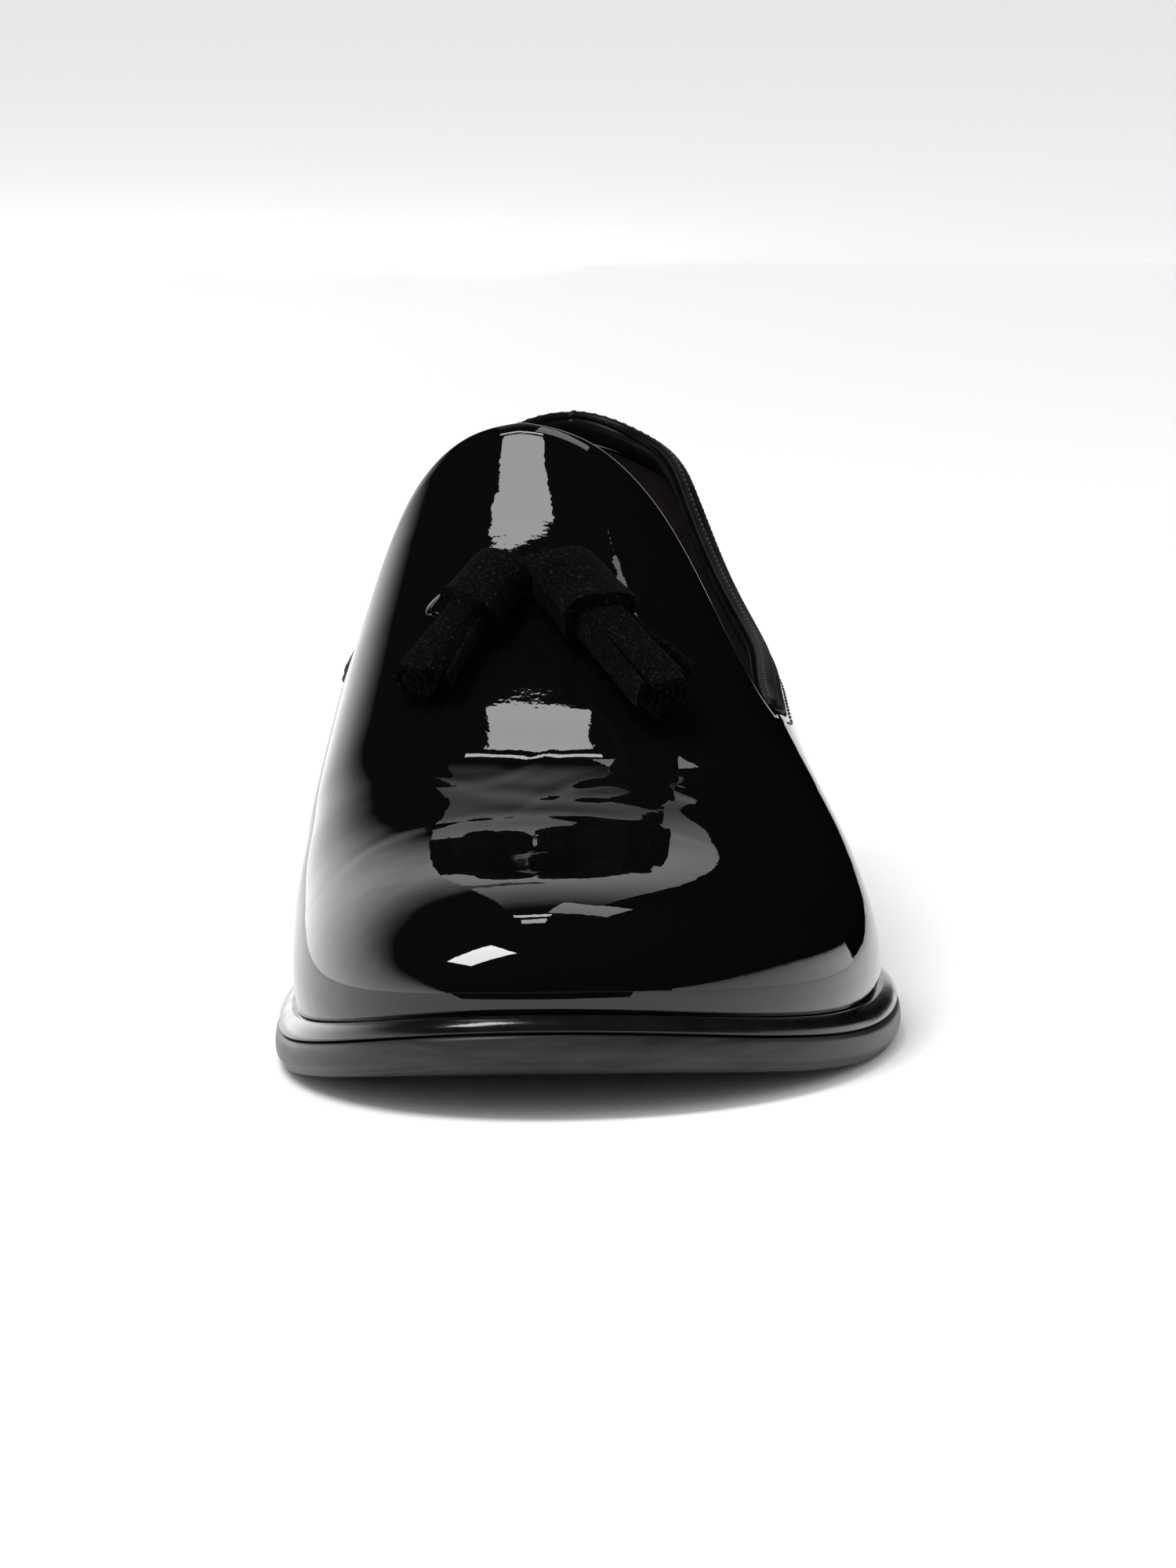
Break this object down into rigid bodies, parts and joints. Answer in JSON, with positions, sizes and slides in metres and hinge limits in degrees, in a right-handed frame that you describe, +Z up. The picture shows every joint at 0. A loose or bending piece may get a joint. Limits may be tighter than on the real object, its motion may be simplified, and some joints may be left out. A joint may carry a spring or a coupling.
{
  "type": "tassel loafer",
  "caption": "Left slip-on tassel loafer in black patent leather: high round tongue, two suede tassels, padded collar, welted sole and low heel.",
  "frame": {"origin": "middle of the shoe's footprint box, on the floor it stands on", "axes": "+Z up; -Y towards the toe, +Y towards the heel; +X towards the outer side of the foot"},
  "size_m": [0.1058, 0.295, 0.0954],
  "materials": {
    "patent": "black patent leather, mirror gloss",
    "binding": "soft black leather, low sheen",
    "lining": "dark brown-black lining leather, dull",
    "welt": "black edge-dressed welt, glossy",
    "sole": "dark grey dressed sole edge, satin",
    "heel": "black dressed heel stack, satin",
    "rubber": "black rubber top piece, dull",
    "suede": "charcoal black suede, napped and matt"
  },
  "bodies": {
    "root": {"upper": "patent", "collar_binding": "binding", "insole": "lining", "welt": "welt", "outsole": "sole", "heel_block": "heel", "heel_top_piece": "rubber", "tassel_tie": "suede", "tassel_medial": "suede", "tassel_lateral": "suede"}
  },
  "joints": []
}
